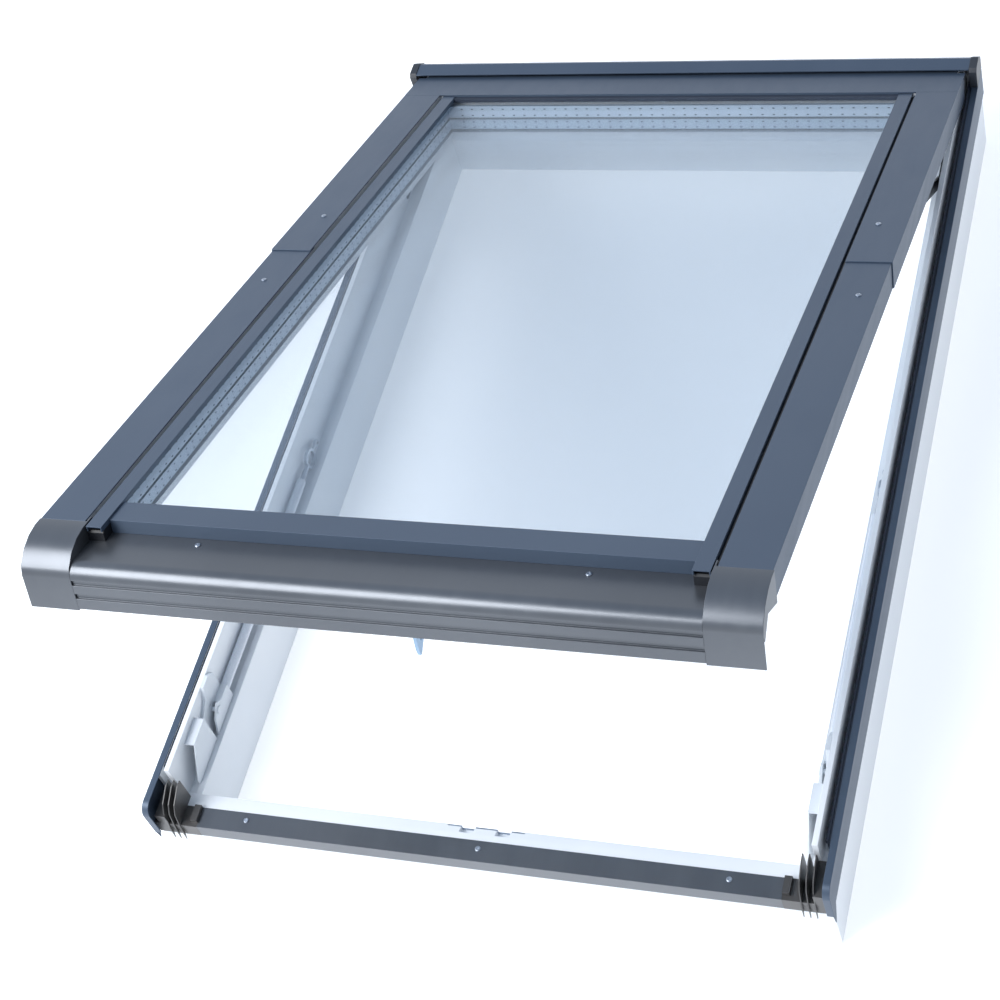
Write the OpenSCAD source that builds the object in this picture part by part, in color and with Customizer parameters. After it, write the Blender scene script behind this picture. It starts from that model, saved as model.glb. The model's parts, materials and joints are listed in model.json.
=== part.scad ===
// Top-hung roof window with its frame: a white PVC frame lying in the roof plane, a triple-glazed
// sash hinged near its upper edge and standing open, and aluminium covers. X is across, +Y is up the
// roof slope and +Z is the weather side. The frame's back lies on z = 0, centred on the origin.

/* [Frame] */
// Width of the PVC frame
frame_w = 780; // [550:10:1340]
// Length of the PVC frame, up the slope
frame_l = 1180; // [980:10:1600]
// Width of a side member
side_w = 40; // [38:1:48]
// Width of the head member
head_w = 60; // [56:1:72]
// Width of the sill member
sill_w = 44; // [42:1:54]
// Height of the inner lip
lip_z = 84; // [70:1:101]
// Width of the inner lip
lip_w = 8; // [6:0.5:10]
// Thickness of the side member's outer wall
wall_t = 5; // [4:0.5:6]
// Width of the groove that the sash covers drop into
groove_w = 9.8; // [9.6:0.1:12]
// Thickness of the upstand beside the groove
upstand_t = 6.4; // [5:0.2:8]
// Drop from the closed sash's top plane to the upstand's top
stand_drop = 15.6; // [12:0.2:22]
// Drop from the closed sash's top plane to the cladding's top
clad_drop = 26.6; // [22:0.2:32]
// Drop from the closed sash's top plane to the groove's floor
groove_drop = 52.6; // [44:0.2:60]

/* [Frame cladding] */
// Thickness of the aluminium sheet
sheet = 1.5; // [1:0.1:2]
// How far the side cladding stands proud of the PVC
clad_proud = 3; // [2:0.5:5]
// Height of the cladding's side leg
clad_side = 42; // [34:1:50]
// Width of the sill cladding's top band
band_w = 24; // [20:1:30]
// Height of the sill cladding's front leg
band_h = 20; // [16:1:26]
// Width of a corner piece
corner_w = 46; // [42:1:56]
// Number of ribs on a corner piece
ribs = 3; // [2:1:4]
// Pitch of the corner ribs
rib_pitch = 7.2; // [6:0.1:7.4]
// Thickness of a corner rib
rib_t = 1.2; // [1:0.1:1.6]
// Distance of the hood's front edge from the frame's upper edge
hood_in = 33.2; // [31:0.1:36]
// Depth of the hood's flat top, front to back
hood_flat = 21; // [18:1:26]

/* [Sash] */
// Angle at which the sash stands open
open_angle = 20.25; // [10:0.25:40]
// Depth of the sash frame
sash_d = 62; // [54:1:75]
// Gap between the closed sash and the inner lip
seal_gap = 10.6; // [6:0.2:13]
// Free width kept for stays and springs between sash and upstand
gear_w = 14.8; // [14.4:0.1:18]
// Distance of the hinge line from the frame's upper edge
hinge_in = 46.3; // [42:0.1:52]
// Depth of the hinge line below the sash's top plane
hinge_d = 36.6; // [30:0.2:44]
// Distance from the hinge line to the top cover's lower edge
strip_in = 60; // [50:1:72]
// Distance from the hinge line to the top cover's upper edge
strip_up = 0.6; // [0.4:0.2:6]

/* [Sash covers] */
// Width of a side cover
cover_w = 51; // [43:1:61]
// Depth of a side cover's outer flange
cover_d = 33; // [27:1:38]
// Distance from the hinge line down to the joint of the side covers
cover_split = 509; // [430:1:610]
// Length over which an upper cover laps a lower one
cover_lap = 12; // [8:1:18]
// Overhang of the bottom rail past the frame
nose_out = 27.8; // [23:0.1:33]
// Depth of the bottom rail's deck below the top plane
deck_d = 20; // [16:1:24]
// Depth of the bottom rail
rail_d = 70; // [64:1:84]
// Radius of the bottom rail's nose
nose_r = 15.5; // [13:0.5:18]
// Height of a groove in the bottom rail
groove_h = 6; // [4:0.5:7]
// Depth of a groove in the bottom rail
groove_t = 2.5; // [1.5:0.1:3]
// Wall of the bottom rail
rail_t = 2; // [1.5:0.1:2.5]

/* [Glazing] */
// Thickness of the outer and inner panes
pane = 4; // [3:0.5:5]
// Thickness of the middle pane
pane_mid = 3; // [2:0.5:4]
// Gap between the outer and middle panes
gap_outer = 16; // [12:1:17]
// Gap between the middle and inner panes
gap_inner = 14; // [12:1:15]
// Depth of the outer pane's face below the top plane
glass_d = 8; // [6:0.5:9]
// Gap between a side cover and its glazing bead
bead_gap = 4.8; // [4:0.2:6]
// Width of a side glazing bead
bead_w = 17.5; // [15:0.5:21]
// Width of the bottom glazing bead
low_bead_w = 34; // [30:1:40]
// Width of a spacer bar
spacer_w = 6; // [5:0.5:7]

/* [Hinges and stays] */
// Radius of a hinge pin
hinge_r = 4; // [3:0.25:5]
// Radial clearance of a turning pin
fit = 0.05; // [0.03:0.01:0.08]
// Distance from the hinge line down to a stay arm's pivot
stay_in = 136; // [114:1:163]
// Drop of a stay arm's pivot below the hinge line
stay_drop = 12; // [8:1:14]
// Width of a stay arm
arm_w = 15; // [13:0.5:18]
// Thickness of a stay arm
arm_t = 3; // [2.5:0.5:3.5]
// Radius of a stay arm's frame pin
pivot_r = 4; // [3:0.25:5]
// Radius of a stay shoe's pin
shoe_r = 3; // [2.5:0.25:3.5]
// Length of a stay shoe
shoe_l = 26; // [20:1:32]
// Width of a stay shoe
shoe_w = 10; // [8:0.5:12]
// Clearance of a shoe in its rail, each side
shoe_fit = 0.3; // [0.2:0.05:0.5]

/* [Springs] */
// Radius of the spring tube
tube_r = 6; // [5:0.25:6.5]
// Length of the spring tube
tube_l = 304; // [250:1:365]
// Distance of the spring tube's lower end from the frame's lower edge
tube_in = 177; // [170:1:212]
// Radius of the spring rod
rod_r = 3; // [2.5:0.25:3.5]
// Outer radius of the rod's eye
eye_r = 13; // [11:0.5:14]
// Distance from the tube's upper end to the centre of the eye
eye_out = 36; // [34:1:44]

/* [Lock and screws] */
// Width of the lock case
case_w = 90; // [76:1:110]
// Length of the handle lever, pivot to tip
lever_l = 81; // [68:1:82]
// Thickness of the handle lever
lever_t = 4; // [3:0.5:5]
// Radius of the handle's pin
lever_r = 3; // [2.5:0.25:3.5]
// Width of a lock bolt
bolt_w = 14; // [10:1:18]
// Throw of a lock bolt
bolt_throw = 7; // [5:0.5:8]
// Radius of a screw head
screw_r = 3.2; // [2.5:0.1:4]
// Height of a screw head
screw_h = 1.4; // [1:0.1:2]

/* [Hidden] */
$fn = 48;
e = 0.01;

// Across the frame, from its outer face inwards
fx = frame_w / 2;
fy = frame_l / 2;
clad_x = fx + clad_proud;
wall_x = fx - wall_t;
stand_out = wall_x - groove_w;
stand_in = stand_out - upstand_t;
inner_x = fx - side_w;
head_y = fy - head_w;
sill_y = -fy + sill_w;
gasket_w = 5.4;
slot_x = fx - corner_w - 6;

// Across the sash, from its covers inwards
cover_out = stand_out + 0.6 + sheet;
cover_in = cover_out - cover_w;
bead_out = cover_in - bead_gap;
bead_in = bead_out - bead_w;
pane_x = bead_out - 2.5;
spacer_x = pane_x - 1 - spacer_w;
day_x = spacer_x - 1;
sash_out = stand_in - gear_w;
cap_in = bead_out + 1.5;

// Heights, with the sash closed
top_z = lip_z + seal_gap + sash_d;
clad_z = top_z - clad_drop;
stand_z = top_z - stand_drop;
groove_z = top_z - groove_drop;
channel_z = lip_z - 4;
cover_z = top_z - sheet;
base_z = cover_z - sheet;
glass_z = top_z - glass_d;
seat_z = glass_z - 2 * pane - pane_mid - gap_outer - gap_inner;
sash_z = top_z - sash_d;
deck_z = top_z - deck_d;
rail_z = top_z - rail_d;
hz = top_z - hinge_d;
sill_z = lip_z + 6.5;
hood_z = top_z + 2.9;

// Along the slope, with the sash closed
hy = fy - hinge_in;
strip_y = hy - strip_in;
back_y = hy - strip_up;
split_y = hy - cover_split;
nose_y = -fy - nose_out;
step_y = -fy + 36.7;
cover_y = -fy + 27.6;
bead_y = -fy + 19.5;
stand_y = -fy + 40;
rear_y = fy - 10;
low_bead_y = step_y + low_bead_w;
sash_top_y = back_y - 2;
sash_low_y = step_y + sheet;
pane_top_y = strip_y - 1;
pane_low_y = sash_low_y + 18;
spacer_top_y = pane_top_y - 1 - spacer_w - 4;
spacer_low_y = pane_low_y + 1 + spacer_w;
day_top_y = spacer_top_y - 1;
day_low_y = spacer_low_y - 1;

// Stay linkage: arm and hinge-to-pivot distance are equal, so the shoe stays on a line of the sash
pivot_y = hy - stay_in;
pivot_z = hz - stay_drop;
stay_r = sqrt(stay_in * stay_in + stay_drop * stay_drop);
stay_a = atan2(stay_drop, stay_in);
rail_x = sash_out;
shoe_x = rail_x + 1.5;
arm_x = shoe_x + 4;
plate_x = stand_in - 2.4;

// Springs and lock
tube_x = stand_in - tube_r - 0.8;
tube_z = lip_z + 16;
tube_y = -fy + tube_in;
rod_y = tube_y + tube_l;
eye_y = rod_y + eye_out;
case_y = sill_y + 3.5;
case_l = 16;
case_h = 22;
lever_y = case_y + case_l / 2;
lever_z = sash_z - case_h / 2 - 1;
bolt_x = 21;
bolt_h = 8;

// Turns what is drawn closed about the hinge line, to its open rest
module swing() {
    translate([0, hy, hz]) rotate([-open_angle, 0, 0]) translate([0, -hy, -hz]) children();
}

// Mirrors a right-hand piece to the left
module flip() {
    mirror([1, 0, 0]) children();
}

// Both hands of a piece
module pair() {
    children();
    mirror([1, 0, 0]) children();
}

// Extrudes a section drawn in X and Z from y0 to y1
module along(y0, y1) {
    translate([0, y1, 0]) rotate([90, 0, 0]) linear_extrude(y1 - y0) children();
}

// Extrudes a section drawn in Y and Z from x0 to x1
module across(x0, x1) {
    translate([x0, 0, 0]) rotate([90, 0, 90]) linear_extrude(x1 - x0) children();
}

// Rectangle and box from corner to corner
module span(a, b) {
    translate(a) square([b[0] - a[0], b[1] - a[1]]);
}

module block(a, b) {
    translate(a) cube([b[0] - a[0], b[1] - a[1], b[2] - a[2]]);
}

// Round bar or bore along X
module bar(x0, x1, y, z, r) {
    translate([x0, y, z]) rotate([0, 90, 0]) cylinder(h = x1 - x0, r = r);
}

// Cross-slot screw head standing on its seat
module screw() {
    difference() {
        union() {
            cylinder(h = screw_h / 2, r = screw_r, $fn = 24);
            translate([0, 0, screw_h / 2])
                cylinder(h = screw_h / 2, r1 = screw_r, r2 = screw_r * 0.7, $fn = 24);
        }
        for (a = [0, 90]) rotate(a) translate([-screw_r * 0.5, -0.4, screw_h / 2])
            cube([screw_r, 0.8, screw_h]);
    }
}

// ---- Frame ----

// Side member: inner lip, hardware channel, upstand, groove and outer wall
module side_section() {
    polygon([
        [inner_x, 0], [fx, 0], [fx, clad_z - sheet], [wall_x, clad_z - sheet], [wall_x, groove_z],
        [stand_out, groove_z], [stand_out, stand_z], [stand_in, stand_z], [stand_in, channel_z],
        [inner_x + lip_w, channel_z], [inner_x + lip_w, lip_z], [inner_x, lip_z]
    ]);
}

// Sill member in Y and Z: its top falls inwards behind the cladding's band
module sill_section() {
    polygon([
        [-fy, 0], [sill_y, 0], [sill_y, lip_z], [-fy + band_w, sill_z], [-fy, sill_z]
    ]);
}

module outer_frame() {
    color("white") difference() {
        union() {
            pair() {
                along(stand_y, rear_y) side_section();
                block([inner_x, -fy + 1, 0], [fx, stand_y + 1, lip_z]);
            }
            across(-fx, fx) sill_section();
            block([-fx, head_y, 0], [fx, rear_y, lip_z]);
            across(-fx, fx) span([rear_y, 0], [fy, clad_z - sheet]);
            across(-stand_out, stand_out) span([rear_y, clad_z - sheet - e], [fy, stand_z + 1]);
        }
        block([-case_w / 2, sill_y - 2.5, lip_z - 26], [case_w / 2, sill_y + 1, lip_z + 1]);
        pair() block([bolt_x - bolt_w / 2 - 1, sill_y - 10, lever_z - bolt_h / 2 - 1],
                     [bolt_x + bolt_w / 2 + 1, sill_y, lever_z + bolt_h / 2 + 1]);
    }
}

// Weather strips in the outer half of the side grooves
module frame_gasket() {
    x0 = wall_x - gasket_w;
    color("midnightblue") pair() along(stand_y + 12, rear_y - 1) union() {
        span([wall_x - gasket_w + 1.4, groove_z], [wall_x, clad_z - 4]);
        span([x0, clad_z - 6], [wall_x, clad_z - sheet - 1]);
        translate([x0 + 1.8, clad_z - sheet - 1]) circle(r = 1.6, $fn = 24);
    }
}

// Side cladding: a top leg, a side leg with a return at its foot, and a rounded lower end
module cladding_right() {
    end_y = -fy - 8;
    end_r = 14;
    foot_z = clad_z - clad_side;
    color("slategray") {
        along(end_y + end_r, fy) union() {
            span([wall_x, clad_z - sheet], [clad_x, clad_z]);
            span([clad_x - sheet, foot_z], [clad_x, clad_z]);
            span([fx, foot_z], [clad_x, foot_z + sheet]);
        }
        across(wall_x, clad_x) difference() {
            union() {
                translate([end_y + end_r, clad_z - end_r]) circle(r = end_r);
                span([end_y, foot_z - 8], [end_y + sheet, clad_z - end_r]);
            }
            translate([end_y + end_r, clad_z - end_r]) circle(r = end_r - sheet);
            span([end_y + sheet, foot_z - 9], [end_y + 3 * end_r, clad_z - end_r]);
            span([end_y + end_r, foot_z], [end_y + 3 * end_r, clad_z + 1]);
        }
        across(clad_x - sheet, clad_x) difference() {
            union() {
                translate([end_y + end_r, clad_z - end_r]) circle(r = end_r);
                polygon([
                    [end_y, clad_z - end_r], [end_y, foot_z - 8], [end_y + 2, foot_z - 24],
                    [end_y + 8, foot_z - 12], [end_y + end_r, foot_z], [end_y + end_r, clad_z - end_r]
                ]);
            }
            span([end_y + end_r, foot_z], [end_y + 3 * end_r, clad_z + 1]);
        }
    }
}

module cladding_left() { flip() cladding_right(); }

// Bent sheet over the sill's outer edge, in Y and Z
module band_section() {
    polygon([
        [-fy + band_w, sill_z], [-fy + band_w, sill_z + sheet], [-fy - sheet, sill_z + sheet],
        [-fy - sheet, sill_z + sheet - band_h], [-fy, sill_z + sheet - band_h], [-fy, sill_z]
    ]);
}

module sill_cladding() {
    half = slot_x;
    color("dimgray") across(-half, half) band_section();
}

module sill_screws() {
    color("silver") for (i = [-1, 0, 1])
        translate([i * (slot_x - 58), -fy + 14, sill_z + sheet]) screw();
}

// Rib outline in Y and Z: over the corner's shoulder and down to a point in front of the sill
module rib_outline() {
    top = clad_z - 2;
    polygon([
        [stand_y - 4, sill_z + sheet], [stand_y - 4, top], [-fy + 27, top], [-fy + 8, top - 8],
        [-fy + 1, top - 18], [-fy - 4, top - 44], [-fy - 5, sill_z - 25], [-fy - sheet, sill_z - 12],
        [-fy - sheet, sill_z + sheet]
    ]);
}

// Moulded piece that closes a lower corner of the frame
module corner_right() {
    top = groove_z + 4;
    first = stand_out - 1.5;
    color("dimgray") {
        across(slot_x, clad_x - sheet - 0.2) band_section();
        for (i = [0 : ribs - 1]) across(first - i * rib_pitch - rib_t, first - i * rib_pitch)
            rib_outline();
        block([first - rib_t, -fy - sheet, sill_z + sheet - e], [wall_x - 0.2, stand_y - 0.2, top]);
        block([slot_x, -fy + 4, sill_z + sheet - e], [slot_x + 8, -fy + band_w, sill_z + 7]);
    }
}

module corner_left() { flip() corner_right(); }

// Bent sheet over the head; the top cover's upper edge turns under its front
module top_hood() {
    half = wall_x - 2;
    front = fy - hood_in;
    bend = front + hood_flat;
    color("slategray") across(-half, half) polygon([
        [front, hood_z - sheet - 0.6], [front, hood_z], [bend, hood_z], [fy + sheet, hood_z - 11],
        [fy + sheet, clad_z - 12], [fy, clad_z - 12], [fy, hood_z - 11 - 0.4],
        [bend - 0.5, hood_z - sheet], [front + sheet, hood_z - sheet], [front + sheet, hood_z - sheet - 0.6]
    ]);
}

// Black end cap that closes the hood and stands on the side cladding
module hood_cap_right() {
    front = fy - hood_in - 2;
    bend = fy - hood_in + hood_flat;
    color([0.1, 0.11, 0.13]) across(wall_x - 2, clad_x) polygon([
        [front, clad_z], [fy + sheet, clad_z], [fy + sheet, hood_z - 9.5], [bend + 1, hood_z + 1],
        [front + 4, hood_z + 1], [front, hood_z - 4]
    ]);
}

module hood_cap_left() { flip() hood_cap_right(); }

// Plate on the upstand with the pin that carries the sash
module hinge_bracket_right() {
    arm_out = sash_out + 4;
    color("silver") {
        difference() {
            block([stand_in - 3, hy - 16, lip_z], [stand_in, hy + 20, stand_z - 6]);
            bar(stand_in - 4, stand_in + 1, hy + 12, lip_z + 12, 2.2);
        }
        bar(sash_out + 0.3, stand_in - 3 + e, hy, hz, hinge_r);
        bar(arm_out + 0.4, stand_in - 3 + e, hy, hz, hinge_r + 3);
    }
}

module hinge_bracket_left() { flip() hinge_bracket_right(); }

// Plate on the upstand with the pin on which a stay arm turns
module stay_bracket_right() {
    color("dimgray") {
        block([plate_x, pivot_y - 20, lip_z + 4], [stand_in, pivot_y + 20, stand_z - 3]);
        bar(arm_x - 1, plate_x + e, pivot_y, pivot_z, pivot_r);
        bar(arm_x + arm_t + 0.4, plate_x + e, pivot_y, pivot_z, pivot_r + 2.5);
    }
}

module stay_bracket_left() { flip() stay_bracket_right(); }

// Spring tube beside the upstand, open at its upper end for the rod
module spring_tube_right() {
    color("whitesmoke") translate([tube_x, tube_y, tube_z]) rotate([-90, 0, 0]) difference() {
        cylinder(h = tube_l, r = tube_r);
        translate([0, 0, 10]) cylinder(h = tube_l - 20, r = tube_r - 1.5);
        translate([0, 0, tube_l - 12]) cylinder(h = 13, r = rod_r + fit);
    }
}

module spring_tube_left() { flip() spring_tube_right(); }

// White foot that holds the tube's lower end, with its hook plate and bolt
module tube_bracket_right() {
    x0 = tube_x - tube_r;
    x1 = stand_in;
    low = tube_y - 60;
    color("white") {
        across(x1 - 4, x1) polygon([
            [low, lip_z], [tube_y - 0.2, lip_z], [tube_y - 0.2, tube_z + 34], [tube_y - 10, tube_z + 41],
            [tube_y - 26, tube_z + 41], [tube_y - 34, tube_z + 26], [low, tube_z + 12]
        ]);
        block([x0, tube_y - 24, lip_z + 1], [x1 - 4 + e, tube_y, tube_z + 8]);
        across(x0, x0 + 2.5) polygon([
            [low + 6, lip_z + 1], [tube_y - 20, lip_z + 1], [tube_y - 20, tube_z + 8],
            [tube_y - 30, tube_z + 14], [low + 14, tube_z + 2]
        ]);
    }
    color("silver") {
        bar(x0 + 2.5 - e, x1 - 4 + e, tube_y - 32, tube_z + 4, 3);
        bar(x0 - 1.4, x0 + e, tube_y - 32, tube_z + 4, 5);
    }
}

module tube_bracket_left() { flip() tube_bracket_right(); }

// White strip over the channel below the spring, with its drop edge towards the opening
module channel_plate_right() {
    x0 = tube_x - tube_r;
    high = tube_y - 60.2;
    low = -fy + 82;
    color("white") {
        block([x0, low, clad_z - 2.5], [stand_in, high, clad_z]);
        across(x0, x0 + 1.2) polygon([
            [high, clad_z - 2], [low, clad_z - 2], [-fy + 56, lip_z + 8], [-fy + 56, lip_z + 1],
            [high, lip_z + 1]
        ]);
    }
}

module channel_plate_left() { flip() channel_plate_right(); }

// Keeper plate let into the sill's inner face, with a slot for each lock bolt
module lock_keeper() {
    color("silver") difference() {
        block([-case_w / 2 + 0.2, sill_y - 2.5, lip_z - 25.8], [case_w / 2 - 0.2, sill_y, lip_z - 1]);
        pair() block([bolt_x - bolt_w / 2 - 1, sill_y - 3, lever_z - bolt_h / 2 - 1],
                     [bolt_x + bolt_w / 2 + 1, sill_y + 1, lever_z + bolt_h / 2 + 1]);
        pair() translate([case_w / 2 - 7, sill_y + 1, lip_z - 13]) rotate([90, 0, 0])
            cylinder(h = 4, r = 1.8);
    }
}

// ---- Sash, drawn closed and swung open ----

// Ring between an outer and an inner rectangle, both centred in X
module ring(x_out, low_out, top_out, x_in, low_in, top_in, z0, z1) {
    translate([0, 0, z0]) linear_extrude(z1 - z0) difference() {
        span([-x_out, low_out], [x_out, top_out]);
        span([-x_in, low_in], [x_in, top_in]);
    }
}

module sash_frame() {
    wall_low = cover_in + 1.7;
    color("white") swing() difference() {
        union() {
            ring(sash_out, sash_low_y, sash_top_y, bead_out, pane_low_y - 2, pane_top_y + 2,
                 seat_z - e, glass_z - 2);
            ring(sash_out, sash_low_y, sash_top_y, wall_low, sash_low_y - 1, pane_top_y + 3,
                 glass_z - 2 - e, base_z);
            block([-bead_out, sash_low_y, seat_z], [bead_out, pane_low_y - 2, glass_z]);
            ring(sash_out, sash_low_y, sash_top_y, day_x, day_low_y, day_top_y, sash_z, seat_z);
        }
        for (s = [0, 1]) mirror([s, 0, 0]) along(day_low_y - 8, day_top_y + 8) polygon([
            [day_x - 1, sash_z - 1], [day_x + 8, sash_z - 1], [day_x - 1, sash_z + 6]
        ]);
    }
}

// Seal under the sash, just clear of the frame's inner lip
module sash_seal() {
    color("black") swing() ring(sash_out - 0.2, sill_y - 4, head_y + 4, inner_x + 0.6, sill_y - 0.6,
                                head_y + 0.6, lip_z + 3, sash_z);
}

// One pane whose weather face is at height z
module glass_pane(z, t) {
    color([0.75, 0.85, 0.9, 0.4]) swing() translate([0, 0, z - t]) linear_extrude(t)
        span([-pane_x, pane_low_y], [pane_x, pane_top_y]);
}

module glass_outer() { glass_pane(glass_z, pane); }
module glass_middle() { glass_pane(glass_z - pane - gap_outer, pane_mid); }
module glass_inner() { glass_pane(seat_z + pane, pane); }

// Spacer frame between two panes
module spacer(z, h) {
    color("lightsteelblue") swing() ring(
        spacer_x + spacer_w, spacer_low_y - spacer_w, spacer_top_y + spacer_w,
        spacer_x, spacer_low_y, spacer_top_y, z - h, z
    );
}

module spacer_outer() { spacer(glass_z - pane, gap_outer); }
module spacer_inner() { spacer(seat_z + pane + gap_inner, gap_inner); }

// Side glazing bead: an open channel that clips beside the pane and presses on its face
module bead_right() {
    top = glass_z + 6;
    color("slategray") swing() along(bead_y, pane_top_y + 2) union() {
        span([bead_in, top - sheet], [bead_out, top]);
        span([bead_in, glass_z], [bead_in + sheet, top]);
        span([bead_out - sheet, glass_z], [bead_out, top]);
    }
}

module bead_left() { flip() bead_right(); }

module bead_top() {
    color("midnightblue") swing()
        block([-bead_in, strip_y - 7, glass_z], [bead_in, pane_top_y + 3, glass_z + 5]);
}

// Bottom glazing bead, whose front leg makes the step above the rail's deck
module bead_bottom() {
    color("slategray") swing() across(-bead_in, bead_in) polygon([
        [low_bead_y, glass_z], [low_bead_y, glass_z + 2.5], [low_bead_y - 2, glass_z + 3.5],
        [step_y, glass_z + 3.5], [step_y, deck_z], [sash_low_y, deck_z], [sash_low_y, glass_z]
    ]);
}

// Cover over the sash's head, with a rounded apron that turns under the hood
module cover_top() {
    half = cover_out + sheet;
    apron_r = sqrt(pow(strip_up, 2) + pow(cover_z + sheet - hz, 2));
    a0 = atan2(cover_z + sheet - hz, -strip_up);
    color("slategray") swing() {
        difference() {
            block([-half, strip_y, cover_z], [half, back_y, cover_z + sheet]);
            pair() translate([half, back_y, cover_z - 1]) rotate(45) cube([30, 9, 4], center = true);
        }
        across(-stand_in + 1, stand_in - 1) polygon(concat(
            [for (a = [66 : 4 : a0]) [hy + apron_r * cos(a), hz + apron_r * sin(a)]],
            [[back_y, cover_z + sheet], [back_y - 1, cover_z + sheet], [back_y - 1, cover_z]],
            [for (a = [86 : -4 : 66]) [hy + (apron_r - sheet) * cos(a), hz + (apron_r - sheet) * sin(a)]]
        ));
        pair() block([cover_out, strip_y, cover_z + sheet - cover_d], [half, back_y - 12, cover_z + e]);
        block([-bead_in, strip_y, base_z], [bead_in, strip_y + sheet, cover_z + e]);
    }
}

// Upper side cover: it stands one sheet higher and wider, so its end laps the lower cover
module cover_upper_right() {
    out = cover_out + sheet;
    color("slategray") swing() difference() {
        along(split_y - cover_lap, strip_y) union() {
            span([cover_in, cover_z], [out, cover_z + sheet]);
            span([cover_out, top_z - cover_d], [out, cover_z + sheet]);
        }
        block([0, split_y - cover_lap - 1, 0], [cover_in - 1, split_y, top_z + 9]);
    }
    color("slategray") swing() block([cover_in + 1.7, split_y + 2, base_z], [cover_in + 4, strip_y, cover_z + e]);
}

module cover_upper_left() { flip() cover_upper_right(); }

module cover_lower_right() {
    color("slategray") swing() along(cover_y, split_y) union() {
        span([cover_in, base_z], [cover_out, cover_z]);
        span([cover_out - sheet, top_z - cover_d], [cover_out, cover_z]);
    }
}

module cover_lower_left() { flip() cover_lower_right(); }

// Section of the bottom rail in Y and Z: deck, rounded nose and a front with two grooves
module rail_section() {
    t = rail_t;
    d = groove_t;
    back = step_y + sheet;
    cy = nose_y + nose_r;
    cz = deck_z - nose_r;
    g1 = cz - groove_h;
    g2 = g1 - 16;
    polygon(concat(
        [[back, deck_z - 20], [back, deck_z]],
        [for (a = [90 : 7.5 : 180]) [cy + nose_r * cos(a), cz + nose_r * sin(a)]],
        [[nose_y + d, cz], [nose_y + d, g1], [nose_y, g1], [nose_y, g2 + groove_h], [nose_y + d, g2 + groove_h]],
        [[nose_y + d, g2], [nose_y, g2], [nose_y, rail_z], [nose_y + 8, rail_z], [nose_y + 8, rail_z + t]],
        [[nose_y + t, rail_z + t], [nose_y + t, g2 - t], [nose_y + d + t, g2 - t]],
        [[nose_y + d + t, g2 + groove_h + t], [nose_y + t, g2 + groove_h + t], [nose_y + t, g1 - t]],
        [[nose_y + d + t, g1 - t], [nose_y + d + t, cz]],
        [for (a = [142.5 : -7.5 : 90]) [cy + (nose_r - t) * cos(a), cz + (nose_r - t) * sin(a)]],
        [[back - t, deck_z - t], [back - t, deck_z - 20]]
    ));
}

module bottom_rail() {
    color("gray") swing() across(-cap_in, cap_in) rail_section();
}

// Cap at an end of the rail: it carries the side cover's line down over the nose
module rail_cap_right() {
    front = nose_y;
    out = cover_out + 1;
    foot = top_z - rail_d - 2;
    z1 = cover_z;
    skin = [
        [cover_y, z1], [cover_y - 11, z1], [cover_y - 26, z1 - 3], [cover_y - 40, z1 - 10],
        [front + 3, z1 - 22], [front, z1 - 32], [front, foot]
    ];
    inner = [
        [front + sheet, foot], [front + sheet, z1 - 32], [front + 3 + sheet, z1 - 22 - 0.6],
        [cover_y - 39.5, z1 - 11.5], [cover_y - 25.5, z1 - 3 - sheet], [cover_y - 11, z1 - sheet],
        [cover_y, z1 - sheet]
    ];
    color("gray") swing() {
        across(cap_in, out) polygon(concat(skin, inner));
        across(out - sheet, out) polygon([
            [cover_y, z1], [cover_y - 11, z1], [cover_y - 26, z1 - 3], [cover_y - 40, z1 - 10],
            [front + 3, z1 - 22], [front, z1 - 32], [front + 4, z1 - 42], [front + 22, z1 - 24],
            [cover_y, z1 - 36]
        ]);
        across(cap_in, cap_in + sheet) polygon([
            [step_y, z1], [cover_y, z1], [cover_y - 11, z1], [cover_y - 26, z1 - 3], [cover_y - 40, z1 - 10],
            [front + 3, z1 - 22], [front, z1 - 32], [front, foot], [front + 8, foot],
            [front + 20, rail_z + 20], [step_y, rail_z + 24]
        ]);
    }
}

module rail_cap_left() { flip() rail_cap_right(); }

// Screws of the side covers, two to a side
module cover_screws() {
    color("silver") swing() pair() {
        translate([cover_in + 20, split_y + 79, cover_z + sheet]) screw();
        translate([cover_in + 29, split_y - 87, cover_z]) screw();
    }
}

module rail_screws() {
    color("silver") swing() pair() translate([fx * 0.52, step_y - 11, deck_z]) screw();
}

// Sash half of a hinge: a plate on the sash's side whose eye turns on the frame's pin
module hinge_arm_right() {
    eye = hinge_r + 6;
    color("silver") swing() difference() {
        union() {
            across(sash_out, sash_out + 4) polygon([
                [sash_top_y - 90, hz - 14], [sash_top_y, hz - 12], [hy, hz - eye], [hy, hz + eye],
                [sash_top_y, hz + 14], [sash_top_y - 90, hz + 6]
            ]);
            bar(sash_out, sash_out + 4, hy, hz, eye);
        }
        bar(sash_out - 1, sash_out + 5, hy, hz, hinge_r + fit);
    }
}

module hinge_arm_left() { flip() hinge_arm_right(); }

// Drawn level with the hinge line's origin: x0 to x1, from s0 to s1 along the stay's line
module on_stay_line() {
    swing() translate([0, hy, hz]) rotate([stay_a, 0, 0]) children();
}

// Guide rail on the sash's side in which a shoe slides
module stay_rail_right() {
    s0 = 2 * stay_r + shoe_l / 2 + 6;
    s1 = 2 * stay_r * cos(45) - shoe_l / 2 - 6;
    half = shoe_w / 2 + shoe_fit;
    color("dimgray") on_stay_line() {
        block([rail_x, -s0, -half - 3], [rail_x + sheet - shoe_fit, -s1, half + 3]);
        for (z = [-half - 3, half]) block([rail_x, -s0, z], [rail_x + sheet + 2.5, -s1, z + 3]);
    }
}

module stay_rail_left() { flip() stay_rail_right(); }

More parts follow.
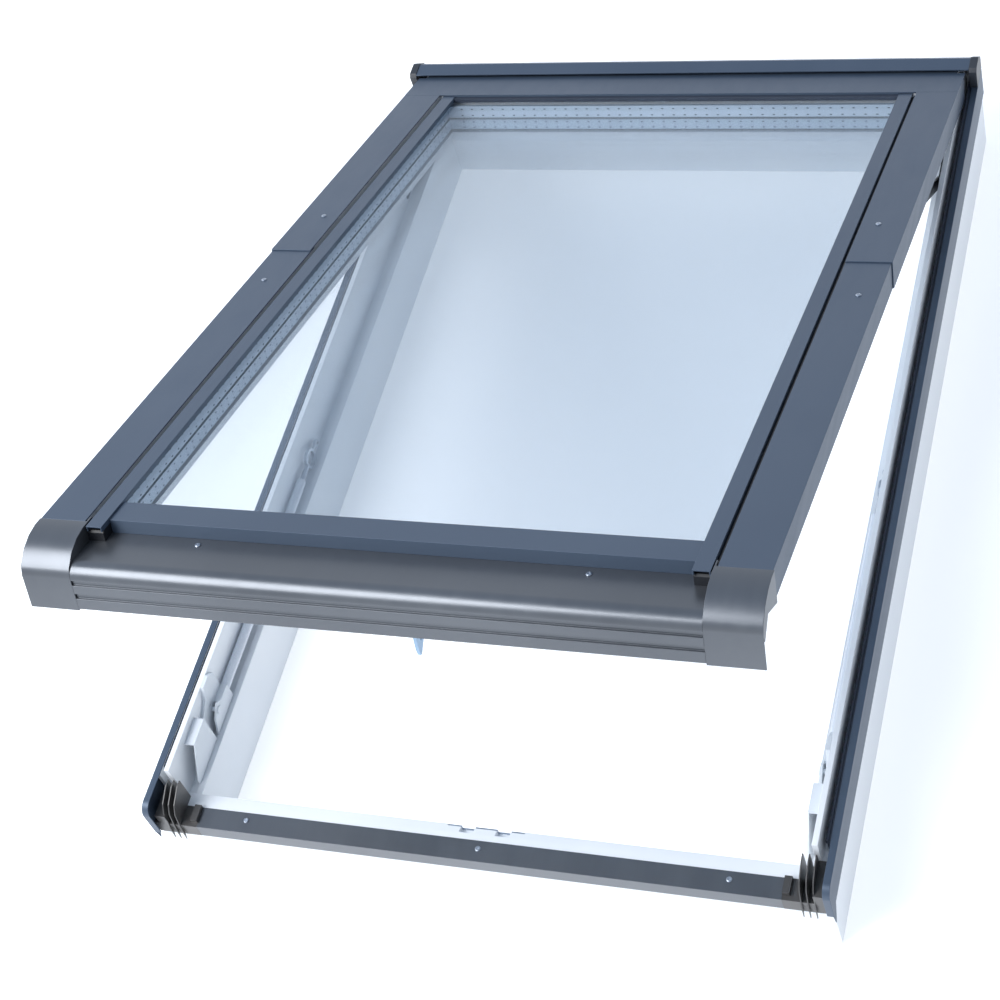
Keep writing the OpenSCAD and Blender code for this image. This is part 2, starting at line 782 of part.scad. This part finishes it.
// Shoe with its pin, where the rest angle puts it in the rail
module stay_shoe_right() {
    s = 2 * stay_r * cos(open_angle);
    color("gainsboro") on_stay_line() {
        block([shoe_x, -s - shoe_l / 2, -shoe_w / 2], [shoe_x + 3, -s + shoe_l / 2, shoe_w / 2]);
        translate([shoe_x + 3 - e, -s, 0]) rotate([0, 90, 0]) cylinder(h = arm_t + 2.2, r = shoe_r);
    }
}

module stay_shoe_left() { flip() stay_shoe_right(); }

// Stay arm: it turns on the frame's pin at twice the sash's rate, with a long recess in its face
module stay_arm_right() {
    color([0.2, 0.22, 0.25]) translate([0, pivot_y, pivot_z])
        rotate([stay_a - 2 * open_angle, 0, 0]) difference() {
            across(arm_x, arm_x + arm_t) difference() {
                union() {
                    span([-stay_r, -arm_w / 2], [0, arm_w / 2]);
                    circle(d = arm_w);
                    translate([-stay_r, 0]) circle(d = arm_w);
                }
                circle(r = pivot_r + fit);
                translate([-stay_r, 0]) circle(r = shoe_r + fit);
            }
            across(arm_x - 1, arm_x + 1) union() {
                span([-stay_r + 26, -arm_w / 4], [-26, arm_w / 4]);
                translate([-26, 0]) circle(d = arm_w / 2);
                translate([-stay_r + 26, 0]) circle(d = arm_w / 2);
            }
        }
}

module stay_arm_left() { flip() stay_arm_right(); }

// Spring rod: it slides out of the tube and ends in a large eye and a small one
module spring_rod_right() {
    w = 4;
    color("silver") difference() {
        union() {
            translate([tube_x, rod_y - 90, tube_z]) rotate([-90, 0, 0])
                cylinder(h = 90 + eye_out - eye_r + 2, r = rod_r);
            bar(tube_x - w / 2, tube_x + w / 2, eye_y, tube_z, eye_r);
            block([tube_x - 1.5, eye_y + eye_r - 1.5, tube_z - 2.5], [tube_x + 1.5, eye_y + 25, tube_z + 2.5]);
            bar(tube_x - 2, tube_x + 2, eye_y + 25, tube_z, 4.5);
        }
        bar(tube_x - w, tube_x + w, eye_y, tube_z, eye_r - 3.5);
        bar(tube_x - w, tube_x + w, eye_y + 25, tube_z, 2);
    }
}

module spring_rod_left() { flip() spring_rod_right(); }

// Lock case under the sash's foot: a slot for the lever, and a guide for each bolt
module lock_case() {
    color("white") swing() difference() {
        block([-case_w / 2, case_y, sash_z - case_h], [case_w / 2, case_y + case_l, sash_z]);
        block([-lever_t / 2 - 0.3, case_y - 1, sash_z - case_h - 1],
              [lever_t / 2 + 0.3, case_y + case_l + 1, sash_z - 2]);
        pair() block([bolt_x - bolt_w / 2 - 0.3, case_y - 1, lever_z - bolt_h / 2 - 0.3],
                     [bolt_x + bolt_w / 2 + 0.3, case_y + case_l - 3, lever_z + bolt_h / 2 + 0.3]);
    }
    color("silver") swing() bar(-lever_t / 2 - 2, lever_t / 2 + 2, lever_y, lever_z, lever_r);
}

// Handle lever: it hangs from its pin and ends in a pointed plate with a hole
module handle_lever() {
    tip = lever_z - lever_l;
    color("lightsteelblue") swing() across(-lever_t / 2, lever_t / 2) difference() {
        union() {
            translate([lever_y, lever_z]) circle(r = 8);
            polygon([
                [lever_y - 6, lever_z], [lever_y - 6, tip + 36], [lever_y - 7, tip + 24],
                [lever_y - 6, tip + 8], [lever_y - 3.5, tip], [lever_y - 1, tip],
                [lever_y + 11, tip + 14], [lever_y + 16, tip + 26], [lever_y + 6, tip + 38],
                [lever_y + 6, lever_z]
            ]);
        }
        translate([lever_y, lever_z]) circle(r = lever_r + fit);
        translate([lever_y + 4, tip + 17]) circle(r = 2.6);
    }
}

// Lock bolts, drawn back into the case
module lock_bolts() {
    color("silver") swing() pair()
        block([bolt_x - bolt_w / 2, case_y, lever_z - bolt_h / 2],
              [bolt_x + bolt_w / 2, case_y + case_l - 3.3, lever_z + bolt_h / 2]);
}

outer_frame();
frame_gasket();
cladding_left();
cladding_right();
sill_cladding();
sill_screws();
corner_left();
corner_right();
top_hood();
hood_cap_left();
hood_cap_right();
hinge_bracket_left();
hinge_bracket_right();
stay_bracket_left();
stay_bracket_right();
spring_tube_left();
spring_tube_right();
tube_bracket_left();
tube_bracket_right();
channel_plate_left();
channel_plate_right();
lock_keeper();
sash_frame();
glass_outer();
glass_middle();
glass_inner();
spacer_outer();
spacer_inner();
bead_left();
bead_right();
bead_top();
bead_bottom();
sash_seal();
cover_top();
cover_upper_left();
cover_upper_right();
cover_lower_left();
cover_lower_right();
bottom_rail();
rail_cap_left();
rail_cap_right();
cover_screws();
rail_screws();
hinge_arm_left();
hinge_arm_right();
stay_rail_left();
stay_rail_right();
lock_case();
stay_arm_left();
stay_arm_right();
stay_shoe_left();
stay_shoe_right();
spring_rod_left();
spring_rod_right();
handle_lever();
lock_bolts();
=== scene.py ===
import json
import math

import bmesh
import bpy
from mathutils import Matrix, Quaternion, Vector


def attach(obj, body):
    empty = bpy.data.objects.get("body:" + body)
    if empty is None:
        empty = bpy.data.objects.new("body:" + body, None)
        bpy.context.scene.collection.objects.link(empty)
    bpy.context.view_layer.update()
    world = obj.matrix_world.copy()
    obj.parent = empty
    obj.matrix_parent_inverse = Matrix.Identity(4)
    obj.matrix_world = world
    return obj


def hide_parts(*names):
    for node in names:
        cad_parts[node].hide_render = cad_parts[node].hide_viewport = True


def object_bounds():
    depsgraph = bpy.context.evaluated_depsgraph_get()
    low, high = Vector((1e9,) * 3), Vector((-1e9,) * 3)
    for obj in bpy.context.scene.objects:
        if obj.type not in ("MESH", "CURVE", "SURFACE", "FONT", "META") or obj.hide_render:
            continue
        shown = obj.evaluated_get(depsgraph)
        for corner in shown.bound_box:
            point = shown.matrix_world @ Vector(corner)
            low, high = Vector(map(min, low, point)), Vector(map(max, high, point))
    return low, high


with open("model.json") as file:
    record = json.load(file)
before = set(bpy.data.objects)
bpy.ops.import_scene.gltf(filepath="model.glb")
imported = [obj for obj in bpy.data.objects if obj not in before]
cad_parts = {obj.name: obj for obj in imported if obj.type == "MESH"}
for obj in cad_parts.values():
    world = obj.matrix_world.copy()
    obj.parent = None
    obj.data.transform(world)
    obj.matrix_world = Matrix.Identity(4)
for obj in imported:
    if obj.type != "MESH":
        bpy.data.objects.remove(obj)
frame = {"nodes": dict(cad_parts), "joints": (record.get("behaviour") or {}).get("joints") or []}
cad_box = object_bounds()

# ---- Camera ----
# A long lens, standing off the sash's lower right corner and looking down at the weather side.
# The picture is sharp from front to back.
view = bpy.data.cameras.new("view")
view.sensor_width = 36
view.lens = 78.05
view.dof.use_dof = False
view.clip_end = 60
camera = bpy.data.objects.new("view", view)
bpy.context.scene.collection.objects.link(camera)
camera.location = (0.81184, -1.53190, 2.11459)
camera.rotation_mode = "QUATERNION"
camera.rotation_quaternion = Quaternion((0.93672628, 0.30146858, 0.15794231, 0.08194394))
bpy.context.scene.camera = camera


# ---- Outer frame ----
# Four white PVC members, extruded with hollow chambers, mitred and welded at the corners.
# The skin is satin and faintly lined along the run, as it leaves the extruder's die.
class Wire:
    """A value inside a finish, for arithmetic with numbers and other values."""

    def __init__(self, finish, socket):
        self.finish = finish
        self.socket = socket

    def maths(self, operation, first, second):
        return self.finish.node("ShaderNodeMath", {"operation": operation}, {0: first, 1: second})

    def __add__(self, other):
        return self.maths("ADD", self, other)

    __radd__ = __add__

    def __sub__(self, other):
        return self.maths("SUBTRACT", self, other)

    def __rsub__(self, other):
        return self.maths("SUBTRACT", other, self)

    def __mul__(self, other):
        return self.maths("MULTIPLY", self, other)

    __rmul__ = __mul__

    def __pow__(self, other):
        return self.maths("POWER", self, other)


class Finish:
    """One paint, plastic, metal or glass, built up from nodes."""

    def __init__(self, name, owner=None):
        self.owner = owner or bpy.data.materials.new(name)
        self.owner.use_nodes = True
        self.owner.node_tree.nodes.clear()

    def node(self, kind, settings=None, sockets=None, out=0):
        """Adds a node: its settings first, then values or links on its sockets."""
        made = self.owner.node_tree.nodes.new(kind)
        for name, value in (settings or {}).items():
            if name == "stops":
                stops = made.color_ramp.elements
                while len(stops) < len(value):
                    stops.new(0.5)
                for stop, (place, shade) in zip(stops, value):
                    stop.position = place
                    stop.color = (shade, shade, shade, 1)
            else:
                setattr(made, name, value)
        for key, value in (sockets or {}).items():
            if isinstance(value, Wire):
                self.owner.node_tree.links.new(value.socket, made.inputs[key])
            else:
                made.inputs[key].default_value = value
        return Wire(self, made.outputs[out]) if len(made.outputs) else made

    def blend(self, amount, first, second):
        """A colour between two others."""
        return self.node("ShaderNodeMix", {"data_type": "RGBA"},
                         {0: amount, 6: first, 7: second}, out=2)

    def grain(self, scale, stretch=(1, 1, 1), detail=2.0):
        """Cloudy noise of that many patches a metre, drawn out along an axis by stretch."""
        place = self.node("ShaderNodeTexCoord", out=3)
        place = self.node("ShaderNodeVectorMath", {"operation": "MULTIPLY"},
                          {0: place, 1: stretch})
        return self.node("ShaderNodeTexNoise", {},
                         {"Vector": place, "Scale": scale, "Detail": detail})

    def band(self, wave, low, high):
        """Noise spread out so that low becomes 0 and high becomes 1."""
        return self.node("ShaderNodeMapRange", {"clamp": True},
                         {"Value": wave, "From Min": low, "From Max": high})

    def relief(self, height, depth):
        """A surface normal that follows height, depth metres from valley to crest."""
        return self.node("ShaderNodeBump", {},
                         {"Height": height, "Distance": depth, "Strength": 1.0})

    def body(self, **sockets):
        """Ends the finish with a surface shader. Underscores in names stand for spaces."""
        shader = self.node("ShaderNodeBsdfPrincipled", {},
                           {name.replace("_", " "): value for name, value in sockets.items()})
        self.node("ShaderNodeOutputMaterial", {}, {"Surface": shader})
        return self


def colour(red, green, blue):
    """A colour as a shader takes it."""
    return (red, green, blue, 1.0)


def moulded(name, base, tint, rough, grain_scale, grain_depth, lined=(1, 1, 1)):
    """Plastic: a faint drift of tone, a satin skin and a fine grain."""
    finish = Finish(name)
    drift = finish.band(finish.grain(7, detail=3.0), 0.35, 0.65)
    skin = finish.grain(grain_scale, lined)
    return finish.body(
        Base_Color=finish.blend(drift, base, tint),
        Roughness=rough - 0.05 + 0.1 * finish.grain(40, lined),
        Normal=finish.relief(skin, grain_depth))


def softened(node, body, finish, arris, steps=2, ring=False):
    """Stands for a CAD node with a copy of its mesh whose sharp edges are broken by arris metres.
    A ring keeps its faces split, because one face can't have a hole."""
    weld_gap = 2e-6
    flat_turn = math.radians(0.6)
    arris_turn = math.radians(32)
    mesh = frame["nodes"][node].data.copy()
    mesh.materials.clear()
    mesh.materials.append(finish.owner)
    work = bmesh.new()
    work.from_mesh(mesh)
    bmesh.ops.remove_doubles(work, verts=work.verts, dist=weld_gap)
    if not ring:
        bmesh.ops.dissolve_limit(work, angle_limit=flat_turn,
                                 verts=work.verts, edges=work.edges)
    for face in work.faces:
        face.smooth = True
    work.to_mesh(mesh)
    work.free()
    if mesh.has_custom_normals:
        for old in [a.name for a in mesh.attributes if a.name == "custom_normal"]:
            mesh.attributes.remove(mesh.attributes[old])
    piece = bpy.data.objects.new(node + "_piece", mesh)
    bpy.context.scene.collection.objects.link(piece)
    edge = piece.modifiers.new("arris", "BEVEL")
    edge.width = arris
    edge.segments = steps
    edge.limit_method = "ANGLE"
    edge.angle_limit = arris_turn
    edge.miter_outer = "MITER_ARC"
    shade = piece.modifiers.new("shade", "WEIGHTED_NORMAL")
    shade.weight = 80
    shade.keep_sharp = False
    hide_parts(node)
    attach(piece, body)


white_pvc = moulded("white_pvc", colour(0.85, 0.87, 0.89), colour(0.81, 0.84, 0.87), 0.34,
                    260, 0.00002, lined=(1, 0.06, 1))
softened("outer_frame", "frame", white_pvc, 0.0012)

# ---- Frame gasket ----
# Soft dark weather strips pushed into the outer half of the side grooves.
# They are extruded in one length and held by a barbed foot.
rubber = moulded("rubber", colour(0.016, 0.024, 0.042), colour(0.024, 0.034, 0.056), 0.55,
                 900, 0.00004, lined=(1, 0.15, 1))
softened("frame_gasket", "frame", rubber, 0.0004)


# ---- Side claddings ----
# Folded aluminium sheet, stove-enamelled blue-grey, clipped over the frame's outer walls.
# Rain and dust leave the paint a little rougher in long faint runs down the slope.
def painted(name, base, tint, rough, metallic):
    """Paint on sheet metal: orange peel, a drift of tone and faint runs down the slope."""
    finish = Finish(name)
    drift = finish.band(finish.grain(5, detail=3.0), 0.35, 0.65)
    runs = finish.band(finish.grain(60, (1, 0.03, 1), detail=3.0), 0.4, 0.75)
    peel = finish.grain(700)
    return finish.body(
        Base_Color=finish.blend(drift * 0.7 + runs * 0.3, base, tint),
        Roughness=rough + 0.06 * runs + 0.05 * peel,
        Metallic=metallic,
        Normal=finish.relief(peel, 0.00001))


cover_paint = painted("cover_paint", colour(0.060, 0.086, 0.128), colour(0.070, 0.098, 0.142),
                      0.36, 0.30)
for side in ("left", "right"):
    softened("cladding_" + side, "frame", cover_paint, 0.0004)

# ---- Sill cladding ----
# A grey painted angle over the sill member, screwed down through its top band.
# Its front leg stops short of the frame's foot, where the PVC shows again.
grey_paint = painted("grey_paint", colour(0.115, 0.124, 0.138), colour(0.140, 0.150, 0.165),
                     0.27, 0.7)
softened("sill_cladding", "frame", grey_paint, 0.0004)


# ---- Screws ----
# Small zinc-plated pan-head screws with a cross slot, driven from the weather side.
# Three hold the sill cladding, four the side covers and two the bottom rail.
def metal(name, base, tint, rough, brushed=(1, 1, 1)):
    """Bare or plated metal: brushing or haze in its roughness and a faint bloom."""
    finish = Finish(name)
    haze = finish.grain(120, brushed, detail=4.0)
    fine = finish.grain(900, brushed)
    return finish.body(
        Base_Color=finish.blend(finish.band(haze, 0.35, 0.7), base, tint),
        Roughness=rough + 0.18 * (haze - 0.5),
        Metallic=1.0,
        Normal=finish.relief(fine, 0.000012))


steel = metal("steel", colour(0.52, 0.56, 0.62), colour(0.40, 0.44, 0.50), 0.32)
softened("sill_screws", "frame", steel, 0.00025)
softened("cover_screws", "sash", steel, 0.00025)
softened("rail_screws", "sash", steel, 0.00025)

# ---- Lower corner pieces ----
# Brown-grey moulded plastic, ribbed where the side cladding ends, so that rain drops off clear.
# Each is clipped on after the claddings.
corner_plastic = moulded("corner_plastic", colour(0.052, 0.050, 0.049),
                         colour(0.072, 0.069, 0.067), 0.34, 1100, 0.00003)
for side in ("left", "right"):
    softened("corner_" + side, "frame", corner_plastic, 0.0003)

# ---- Top hood ----
# A folded aluminium hood over the hinged edge, enamelled like the claddings.
# A black plastic cap is pushed on to each of its ends.
black_plastic = moulded("black_plastic", colour(0.022, 0.026, 0.034),
                        colour(0.030, 0.035, 0.045), 0.38, 1000, 0.00002)
softened("top_hood", "frame", cover_paint, 0.0004)
for side in ("left", "right"):
    softened("hood_cap_" + side, "frame", black_plastic, 0.0006)

# ---- Hinges ----
# Pressed steel with a zinc plating, one pair on each side.
# A bracket with a riveted pin is on the frame, and an arm that turns on it is on the sash.
for side in ("left", "right"):
    softened("hinge_bracket_" + side, "frame", steel, 0.0003)
    softened("hinge_arm_" + side, "sash", steel, 0.0003)

# ---- Stays ----
# Flat steel arms, painted dark. Each turns on a pin at the frame and pushes a plastic shoe
# along a rail on the sash.
dark_steel = painted("dark_steel", colour(0.020, 0.024, 0.032), colour(0.030, 0.034, 0.044),
                     0.34, 0.5)
shoe_plastic = moulded("shoe_plastic", colour(0.60, 0.63, 0.66), colour(0.52, 0.55, 0.58),
                       0.4, 900, 0.00002)
for side in ("left", "right"):
    softened("stay_bracket_" + side, "frame", dark_steel, 0.0003)
    softened("stay_rail_" + side, "sash", dark_steel, 0.0002)
    softened("stay_arm_" + side, "stay_" + side, dark_steel, 0.0004)
    softened("stay_shoe_" + side, "shoe_" + side, shoe_plastic, 0.0004)

# ---- Springs ----
# White painted tubes hold the balancing springs. A bent wire rod with an eye comes out of each,
# and a moulded bracket carries its lower end.
tube_paint = painted("tube_paint", colour(0.76, 0.80, 0.85), colour(0.68, 0.72, 0.78), 0.22, 0.0)
white_plastic = moulded("white_plastic", colour(0.74, 0.78, 0.82), colour(0.68, 0.72, 0.76),
                        0.36, 800, 0.00003)
for side in ("left", "right"):
    softened("spring_tube_" + side, "frame", tube_paint, 0.0005)
    softened("tube_bracket_" + side, "frame", white_plastic, 0.0004)
    softened("spring_rod_" + side, "rod_" + side, steel, 0.0003)
    softened("channel_plate_" + side, "frame", white_plastic, 0.0004)

# ---- Sash frame ----
# White PVC members like the outer frame's, mitred and welded at the corners.
# A dark rubber seal is pressed into its underside and runs all the way round.
softened("sash_frame", "sash", white_pvc, 0.0012)
softened("sash_seal", "sash", rubber, 0.0006, ring=True)


# ---- Panes ----
# Three sheets of float glass. The faint blue comes from the sheets and their coatings,
# and each face mirrors a little of the sky.
def sheet_glass(name, tint):
    """Flat clear glass: straight-through light, and a mirror that grows towards grazing angles."""
    finish = Finish(name)
    facing = finish.node("ShaderNodeLayerWeight", {}, {"Blend": 0.5}, out=1)
    through = finish.node("ShaderNodeBsdfTransparent", {}, {"Color": tint})
    bloom = finish.band(finish.grain(3, detail=3.0), 0.4, 0.7)
    mirror = finish.node("ShaderNodeBsdfPrincipled", {}, {
        "Base Color": finish.blend(bloom, colour(0.55, 0.62, 0.70), colour(0.60, 0.66, 0.73)),
        "Metallic": 1.0, "Roughness": 0.02 + 0.02 * bloom})
    surface = finish.node("ShaderNodeMixShader", {}, {
        0: 0.035 + 0.9 * facing ** 5, 1: through, 2: mirror})
    finish.node("ShaderNodeOutputMaterial", {}, {"Surface": surface})
    return finish


glass = sheet_glass("glass", colour(0.932, 0.943, 0.953))
for layer in ("outer", "middle", "inner"):
    softened("glass_" + layer, "sash", glass, 0.0003, steps=1)

# ---- Spacers ----
# Rolled aluminium bars between the panes, with two rows of small holes on the face that looks
# into the cavity, so that the drying agent inside can work.
spacer_metal = painted("spacer_metal", colour(0.50, 0.58, 0.66), colour(0.44, 0.52, 0.60),
                       0.42, 0.4)
for layer in ("outer", "inner"):
    softened("spacer_" + layer, "sash", spacer_metal, 0.0003, ring=True)

# ---- Glazing beads ----
# Painted aluminium beads hold the panes at the sides and bottom, and a rubber lip at the top.
for side in ("left", "right", "bottom"):
    softened("bead_" + side, "sash", cover_paint, 0.0003)
softened("bead_top", "sash", rubber, 0.0003)

# ---- Glazing gaskets ----
# Round-topped rubber runs in the gap between each side bead and the cover beside it; its near black
# is partly the rubber's own colour, partly painted shade down in the gap.
# A rubber foot closes the open end of each bead above the bottom rail, as dark, partly painted
# shade at the bead's open end.
hinge = next(joint for joint in frame["joints"] if joint["name"] == "sash_hinge")
hinge_place = Matrix.Translation(hinge["pos_m"])
closed_angle = math.radians(hinge["range_deg"][0])
opening = Matrix.Rotation(-closed_angle, 4, Vector(hinge["axis"]))
swung = hinge_place @ opening @ hinge_place.inverted()


def prism(work, outline, axis, start, end):
    """Adds an outline run from start to end along an axis: 0 is X, 1 is Y, 2 is Z."""
    rings = []
    for place in (start, end):
        points = [list(point[:axis]) + [place] + list(point[axis:]) for point in outline]
        rings.append([work.verts.new(point) for point in points])
    count = len(outline)
    for i in range(count):
        j = (i + 1) % count
        work.faces.new((rings[0][i], rings[0][j], rings[1][j], rings[1][i]))
    work.faces.new(rings[0])
    work.faces.new(rings[1])


def made(name, work, body, slot, finish, turn=None):
    """Makes a piece of what was drawn, turned to where it rests, with shaded rounds."""
    bmesh.ops.recalc_face_normals(work, faces=work.faces)
    mesh = bpy.data.meshes.new(name)
    work.to_mesh(mesh)
    work.free()
    if turn:
        mesh.transform(turn)
    mesh.materials.append(finish.owner)
    mesh.shade_smooth()
    mesh.set_sharp_from_angle(angle=math.radians(40))
    piece = bpy.data.objects.new(name, mesh)
    bpy.context.scene.collection.objects.link(piece)
    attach(piece, body)


def arc(centre, radius, start, end, steps):
    """Points on an arc, in degrees."""
    turns = [math.radians(start + (end - start) * i / steps) for i in range(steps + 1)]
    return [(centre[0] + radius * math.cos(t), centre[1] + radius * math.sin(t)) for t in turns]


# Darker than the other rubber: the rubber's own black plus painted shade of the gaps and bead ends
# it fills.
rubber_with_gap_shade = moulded("rubber_with_gap_shade", colour(0.006, 0.007, 0.010), colour(0.012, 0.014, 0.018),
                       0.5, 900, 0.00004, lined=(1, 0.15, 1))
gasket_in, gasket_out, gasket_low, gasket_round = 0.32165, 0.32615, 0.1467, 0.1490
gasket_start, gasket_end = -0.5600, 0.4832
foot_in, foot_out, foot_front, foot_back = 0.3045, 0.3226, -0.5690, -0.5521
foot_low, foot_high, foot_chamfer = 0.1368, 0.1484, 0.0020
for side, hand in (("left", -1), ("right", 1)):
    middle = (gasket_in + gasket_out) / 2
    half = (gasket_out - gasket_in) / 2
    outline = [(gasket_in, gasket_low), (gasket_out, gasket_low)]
    outline += arc((middle, gasket_round), half, 0, 180, 8)
    work = bmesh.new()
    prism(work, [(hand * x, z) for x, z in outline], 1, gasket_start, gasket_end)
    made("glazing_gasket_" + side, work, "sash", "rubber", rubber_with_gap_shade, swung)
    work = bmesh.new()
    foot = [(foot_front, foot_low), (foot_back, foot_low), (foot_back, foot_high),
            (foot_front + foot_chamfer, foot_high), (foot_front, foot_high - foot_chamfer)]
    prism(work, foot, 0, hand * foot_in, hand * foot_out)
    made("bead_foot_" + side, work, "sash", "rubber", rubber_with_gap_shade, swung)

# ---- Spacer perforations ----
# Two rows of short slots in each spacer bar, on the face that looks into the cavity between the
# panes.
# Each is a thin dark oval laid just proud of that face; its darkness is painted shade for the
# inside of the slot.
# Dark blue-grey: painted shade standing for the shadowed inside of each slot.
painted_hole_shade = moulded("painted_hole_shade", colour(0.060, 0.085, 0.115), colour(0.085, 0.110, 0.140),
                  0.6, 500, 0.00002)
slot_pitch, slot_long, slot_wide, slot_proud = 0.015, 0.0036, 0.0016, 0.00012
side_face, low_face, high_face = 0.3120, -0.5268, 0.4717
outer_bar, inner_bar = (0.1286, 0.016), (0.1116, 0.014)
rows = [low + share * tall for low, tall in (outer_bar, inner_bar) for share in (0.2, 0.76)]


def oval(along, up):
    """A slot's outline about its middle."""
    return [(along + x * slot_long / 2, up + z * slot_wide / 2)
            for x, z in ((-1, 0), (-0.6, -1), (0.6, -1), (1, 0), (0.6, 1), (-0.6, 1))]


def places(start, end):
    """Where the slots stand along a bar, evenly spaced from its middle."""
    count = int((end - start) / slot_pitch) - 1
    first = (start + end) / 2 - (count - 1) / 2 * slot_pitch
    return [first + i * slot_pitch for i in range(count)]


work = bmesh.new()
for up in rows:
    for along in places(low_face, high_face):
        for hand in (-1, 1):
            prism(work, oval(along, up), 0,
                  hand * (side_face - slot_proud), hand * (side_face + slot_proud))
    for along in places(-side_face, side_face):
        for face in (low_face, high_face):
            prism(work, oval(along, up), 1, face - slot_proud, face + slot_proud)
made("spacer_perforations", work, "sash", "spacer", painted_hole_shade, swung)

# ---- Sash covers ----
# Folded aluminium covers, enamelled blue-grey. The upper side covers lap the lower ones, and the
# top cover rolls down round the hinge line.
softened("cover_top", "sash", cover_paint, 0.0004)
for side in ("left", "right"):
    softened("cover_upper_" + side, "sash", cover_paint, 0.0004)
    softened("cover_lower_" + side, "sash", cover_paint, 0.0004)

# ---- Bottom rail ----
# A rolled aluminium rail with a round nose and two grooves along its front, painted grey.
# A cap in the same paint closes each end.
softened("bottom_rail", "sash", grey_paint, 0.0004)
for side in ("left", "right"):
    softened("rail_cap_" + side, "sash", grey_paint, 0.0004)

# ---- Lock ----
# A white moulded case under the sash's lower member, two plated bolts, a keeper on the sill and a
# light blue-grey lever.
handle_paint = painted("handle_paint", colour(0.30, 0.44, 0.60), colour(0.36, 0.50, 0.66), 0.3, 0.2)
softened("lock_case", "sash", white_pvc, 0.0008)
softened("lock_bolts", "bolts", steel, 0.0003)
softened("lock_keeper", "frame", steel, 0.0003)
softened("handle_lever", "handle", handle_paint, 0.0006)

# ---- Floor and light ----
# A plain pale floor under the frame, a bright pale sky all round and one large soft lamp above.
floor_mesh = bpy.data.meshes.new("floor")
reach = 14
floor_gap = 0.0005
floor_mesh.from_pydata([(x * reach, y * reach, 0) for x, y in ((-1, -1), (1, -1), (1, 1), (-1, 1))],
                       [], [(0, 1, 2, 3)])
floor = bpy.data.objects.new("floor", floor_mesh)
floor.location = (0, 0, cad_box[0][2] - floor_gap)
bpy.context.scene.collection.objects.link(floor)
pale = Finish("floor")
pale_drift = pale.blend(pale.grain(1.5), colour(0.90, 0.90, 0.90), colour(0.92, 0.92, 0.92))
pale.body(Base_Color=pale_drift, Roughness=0.9,
          Emission_Color=colour(0.96, 0.98, 1.0), Emission_Strength=0.5)
floor_mesh.materials.append(pale.owner)

sky = Finish("sky", bpy.data.worlds.new("sky"))
bpy.context.scene.world = sky.owner
outward = sky.node("ShaderNodeTexCoord", out=0)
lift = sky.band(sky.node("ShaderNodeSeparateXYZ", {}, {0: outward}, out=2), -0.05, 0.95)
across = sky.node("ShaderNodeSeparateXYZ", {}, {0: outward}, out=0)
glow = sky.node("ShaderNodeBackground", {}, {
    "Color": sky.blend(lift, colour(0.90, 0.94, 1.0), colour(0.42, 0.53, 0.70)),
    "Strength": 0.95 - 0.5 * across})
sky.node("ShaderNodeOutputWorld", {}, {"Surface": glow})

lamp = bpy.data.lights.new("lamp", "AREA")
lamp.shape = "RECTANGLE"
lamp.size = 2.6
lamp.size_y = 2.0
lamp.energy = 140
lamp_stand = bpy.data.objects.new("lamp", lamp)
lamp_stand.location = (-1.9, -1.7, 3.2)
lamp_aim = Vector((0, 0, 0.2)) - lamp_stand.location
lamp_stand.rotation_euler = lamp_aim.to_track_quat("-Z", "Y").to_euler()
bpy.context.scene.collection.objects.link(lamp_stand)

bpy.context.scene.cycles.transparent_max_bounces = 32
bpy.context.scene.view_settings.view_transform = "Standard"
bpy.context.scene.view_settings.look = "None"
